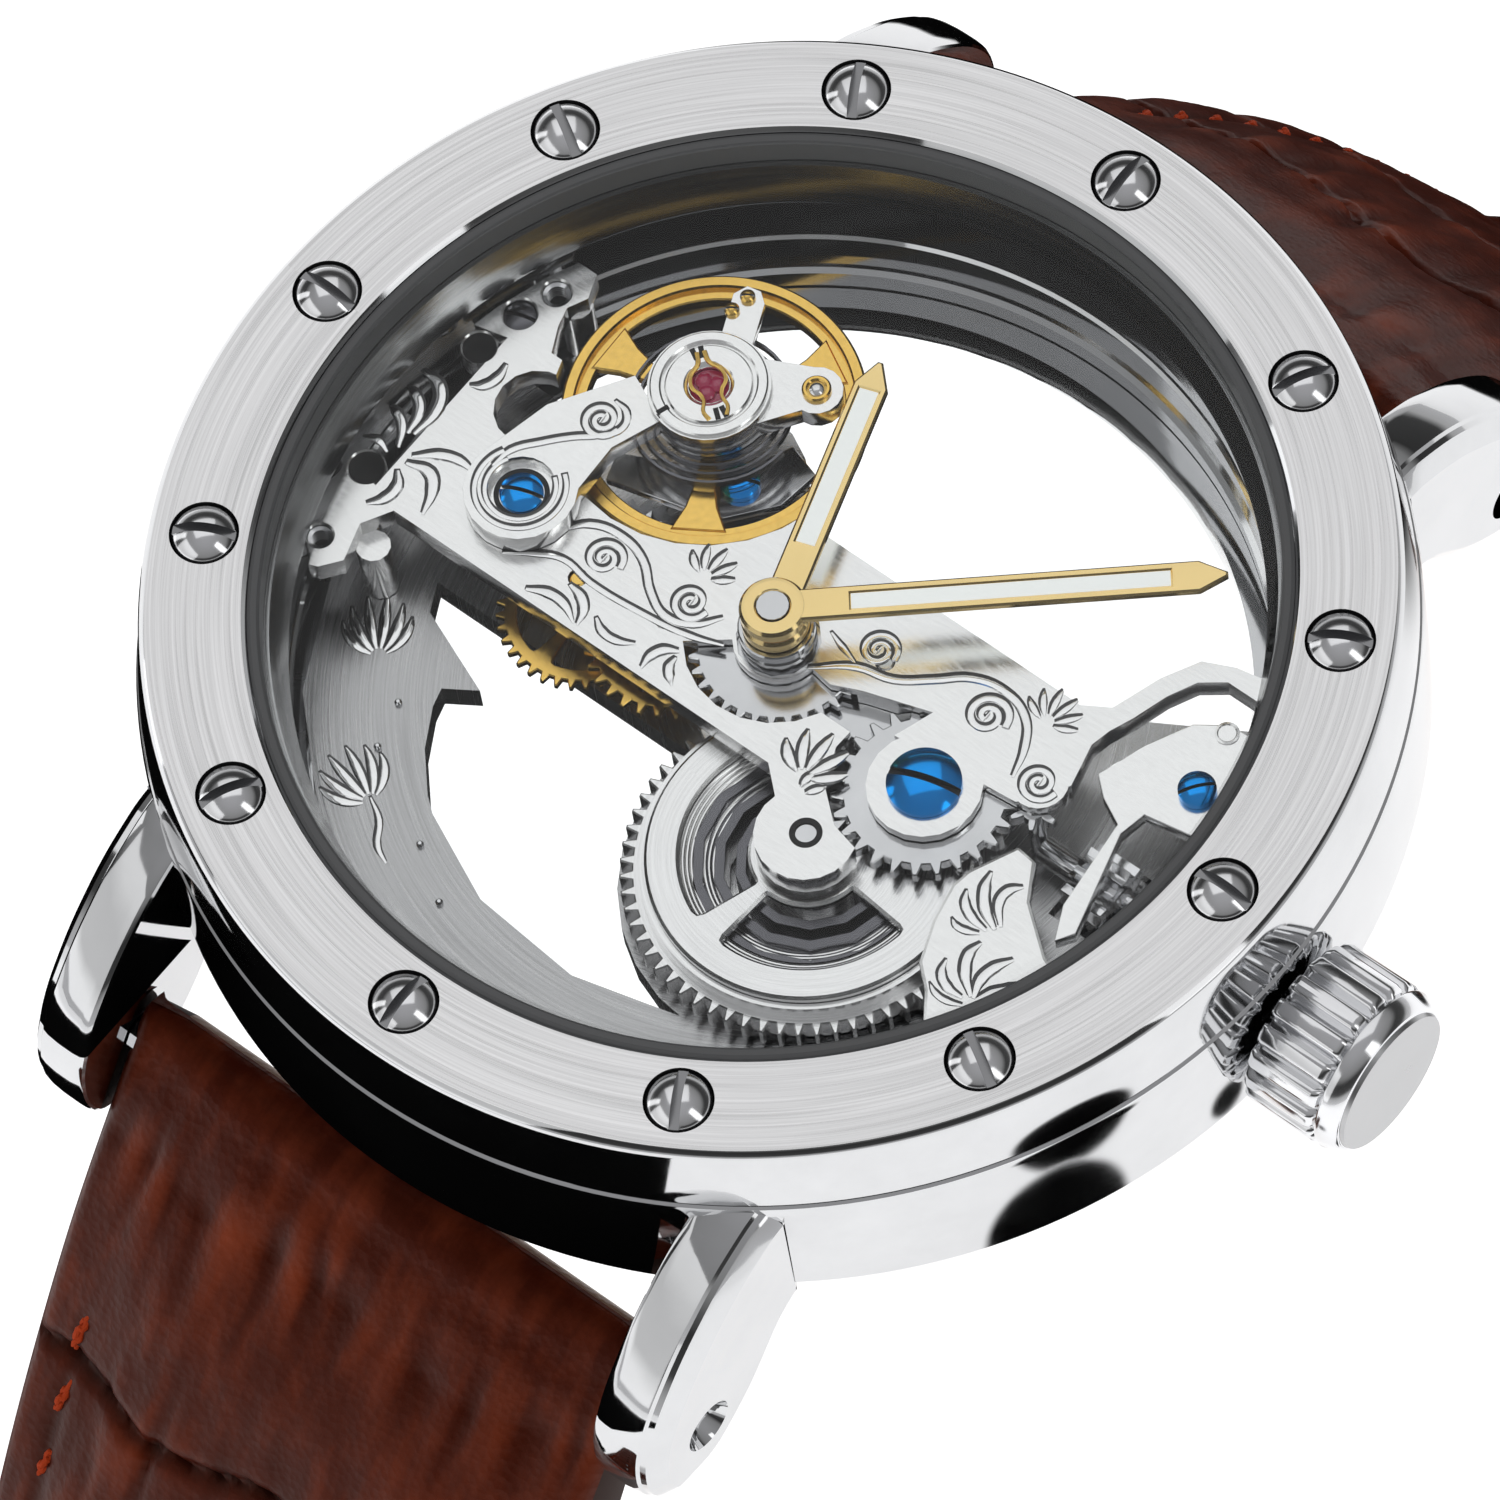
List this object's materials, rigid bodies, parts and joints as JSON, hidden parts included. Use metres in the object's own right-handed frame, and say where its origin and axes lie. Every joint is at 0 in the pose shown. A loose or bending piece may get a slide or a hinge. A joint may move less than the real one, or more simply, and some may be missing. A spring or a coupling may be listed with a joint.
{
  "type": "skeleton wristwatch",
  "caption": "Round skeleton wristwatch with a bolted bezel, clear front and back crystals, an open engraved movement, a fluted crown and a leather strap with a pin buckle.",
  "frame": {"origin": "centre of the case back's outer face, flush with the rear crystal", "axes": "+X towards 3 o'clock and the crown, +Y towards 12 o'clock, +Z out of the dial towards the viewer"},
  "size_m": [0.0471, 0.1983, 0.0582],
  "materials": {
    "case_steel": "polished",
    "bezel_steel": "circular brushed top, polished side",
    "screw_steel": "polished",
    "dark_steel": "satin",
    "crystal": "clear, polished",
    "gasket_rubber": "matte",
    "movement_silver": "engraved, silvered, polished bevels",
    "movement_steel": "circular brushed",
    "spring_steel": "satin",
    "blued_steel": "heat blued, polished",
    "gilt_brass": "satin gilt",
    "hand_gold": "polished, pale gold, white lume inlay",
    "jewel_ruby": "clear pink, polished",
    "strap_leather": "glossy, embossed scales"
  },
  "bodies": {
    "head": {"case_middle": "case_steel", "bezel": "bezel_steel", "crystal": "crystal", "crystal_gasket": "gasket_rubber", "flange_ring": "dark_steel", "case_back": "case_steel", "rear_crystal": "crystal", "crown_tube": "case_steel", "bezel_screw_01": "screw_steel", "bezel_screw_02": "screw_steel", "bezel_screw_03": "screw_steel", "bezel_screw_04": "screw_steel", "bezel_screw_05": "screw_steel", "bezel_screw_06": "screw_steel", "bezel_screw_07": "screw_steel", "bezel_screw_08": "screw_steel", "bezel_screw_09": "screw_steel", "bezel_screw_10": "screw_steel", "bezel_screw_11": "screw_steel", "bezel_screw_12": "screw_steel", "spring_bar_12": "screw_steel", "spring_bar_6": "screw_steel", "main_plate": "movement_silver", "main_bridge": "movement_silver", "balance_cock": "movement_silver", "cap_jewel": "jewel_ruby", "pallet_bridge": "movement_silver", "keyless_cover": "movement_silver", "side_plate": "movement_silver", "cock_screw": "blued_steel", "crown_wheel_screw": "blued_steel", "keyless_screw": "blued_steel", "pallet_bridge_screw": "blued_steel", "hairspring": "spring_steel"},
    "strap_12": {"strap_12": "strap_leather", "fixed_keeper": "strap_leather"},
    "strap_6": {"strap_6": "strap_leather"},
    "free_keeper": {"free_keeper": "strap_leather"},
    "buckle": {"buckle_frame": "case_steel", "buckle_bar": "case_steel"},
    "prong": {"buckle_prong": "case_steel"},
    "crown_seal": {"crown_gasket": "gasket_rubber"},
    "crown": {"crown": "case_steel", "winding_stem": "movement_steel"},
    "winding_pinion": {"winding_pinion": "movement_steel"},
    "transfer_wheel": {"transfer_wheel": "movement_steel"},
    "crown_wheel": {"crown_wheel": "movement_steel"},
    "ratchet_wheel": {"ratchet_wheel": "movement_steel"},
    "barrel": {"barrel": "movement_steel", "mainspring": "spring_steel"},
    "minute": {"centre_arbor": "movement_steel", "minute_hand": "hand_gold"},
    "hour": {"hour_wheel": "movement_steel", "hour_hand": "hand_gold"},
    "minute_wheel": {"minute_wheel": "movement_steel"},
    "third_wheel": {"third_wheel": "gilt_brass"},
    "fourth_wheel": {"fourth_wheel": "gilt_brass"},
    "escape_wheel": {"escape_wheel": "movement_steel"},
    "pallet_fork": {"pallet_fork": "movement_steel"},
    "balance_wheel": {"balance_wheel": "gilt_brass"}
  },
  "joints": [
    {"name": "strap_12_swing", "type": "hinge", "parent": "head", "child": "strap_12", "pos_m": [0, 0.0216, -0.0006], "axis": [1, 0, 0], "range_deg": [-30, 45]},
    {"name": "strap_6_swing", "type": "hinge", "parent": "head", "child": "strap_6", "pos_m": [0, -0.0216, -0.0006], "axis": [-1, 0, 0], "range_deg": [-30, 45]},
    {"name": "buckle_swing", "type": "hinge", "parent": "strap_12", "child": "buckle", "pos_m": [0, 0.07743, -0.0455], "axis": [1, 0, 0], "range_deg": [-45, 45]},
    {"name": "prong_swing", "type": "hinge", "parent": "buckle", "child": "prong", "pos_m": [0, 0.07743, -0.0455], "axis": [1, 0, 0], "range_deg": [0, 70]},
    {"name": "free_keeper_slide", "type": "slide", "parent": "strap_12", "child": "free_keeper", "axis": [0, 1, 0], "range_m": [-0.0015, 0.0023]},
    {"name": "crown_pull", "type": "slide", "parent": "head", "child": "crown_seal", "axis": [1, 0, 0], "range_m": [0, 0.0009]},
    {"name": "crown_turn", "type": "hinge", "parent": "crown_seal", "child": "crown", "pos_m": [0.022, 0, 0.004], "axis": [1, 0, 0], "continuous": true},
    {"name": "winding_pinion_turn", "type": "hinge", "parent": "head", "child": "winding_pinion", "pos_m": [0.0126, 0, 0.004], "axis": [1, 0, 0], "continuous": true},
    {"name": "transfer_wheel_turn", "type": "hinge", "parent": "head", "child": "transfer_wheel", "pos_m": [0.01065, 0.0002, 0.006], "axis": [0, 0, 1], "continuous": true},
    {"name": "crown_wheel_turn", "type": "hinge", "parent": "head", "child": "crown_wheel", "pos_m": [0.00734, -0.00142, 0.006], "axis": [0, 0, 1], "continuous": true},
    {"name": "ratchet_wheel_turn", "type": "hinge", "parent": "head", "child": "ratchet_wheel", "pos_m": [0.0053, -0.00515, 0.006], "axis": [0, 0, 1], "continuous": true},
    {"name": "minute_turn", "type": "hinge", "parent": "head", "child": "minute", "pos_m": [0, 0, 0.0088], "axis": [0, 0, 1], "continuous": true},
    {"name": "hour_turn", "type": "hinge", "parent": "head", "child": "hour", "pos_m": [0, 0, 0.0081], "axis": [0, 0, 1], "continuous": true},
    {"name": "minute_wheel_turn", "type": "hinge", "parent": "head", "child": "minute_wheel", "pos_m": [0.00343, 0.00139, 0.0056], "axis": [0, 0, 1], "continuous": true},
    {"name": "barrel_turn", "type": "hinge", "parent": "head", "child": "barrel", "pos_m": [0.0053, -0.00515, 0.004], "axis": [0, 0, 1], "continuous": true},
    {"name": "third_wheel_turn", "type": "hinge", "parent": "head", "child": "third_wheel", "pos_m": [-0.0035, -0.00171, 0.0051], "axis": [0, 0, 1], "continuous": true},
    {"name": "fourth_wheel_turn", "type": "hinge", "parent": "head", "child": "fourth_wheel", "pos_m": [-0.00687, -0.00218, 0.0043], "axis": [0, 0, 1], "continuous": true},
    {"name": "escape_wheel_turn", "type": "hinge", "parent": "head", "child": "escape_wheel", "pos_m": [-0.00723, 0.00132, 0.0038], "axis": [0, 0, 1], "continuous": true},
    {"name": "pallet_rock", "type": "hinge", "parent": "head", "child": "pallet_fork", "pos_m": [-0.00723, 0.00357, 0.0038], "axis": [0, 0, 1], "range_deg": [-5, 5]},
    {"name": "balance_swing", "type": "hinge", "parent": "head", "child": "balance_wheel", "pos_m": [-0.00742, 0.00566, 0.0058], "axis": [0, 0, 1], "range_deg": [-220, 220], "stiffness_Nm_per_rad": 0.0000016}
  ],
  "couplings": [
    {"joint": "winding_pinion_turn", "follows": "crown_turn", "ratio": 1},
    {"joint": "transfer_wheel_turn", "follows": "crown_turn", "ratio": 2},
    {"joint": "crown_wheel_turn", "follows": "crown_turn", "ratio": -0.46154},
    {"joint": "ratchet_wheel_turn", "follows": "crown_turn", "ratio": 1.0909},
    {"joint": "hour_turn", "follows": "minute_turn", "ratio": 0.083333},
    {"joint": "minute_wheel_turn", "follows": "minute_turn", "ratio": -0.33333},
    {"joint": "barrel_turn", "follows": "minute_turn", "ratio": -0.1875},
    {"joint": "third_wheel_turn", "follows": "minute_turn", "ratio": -0.42857},
    {"joint": "fourth_wheel_turn", "follows": "minute_turn", "ratio": 1.7143},
    {"joint": "escape_wheel_turn", "follows": "minute_turn", "ratio": -7.7143}
  ]
}
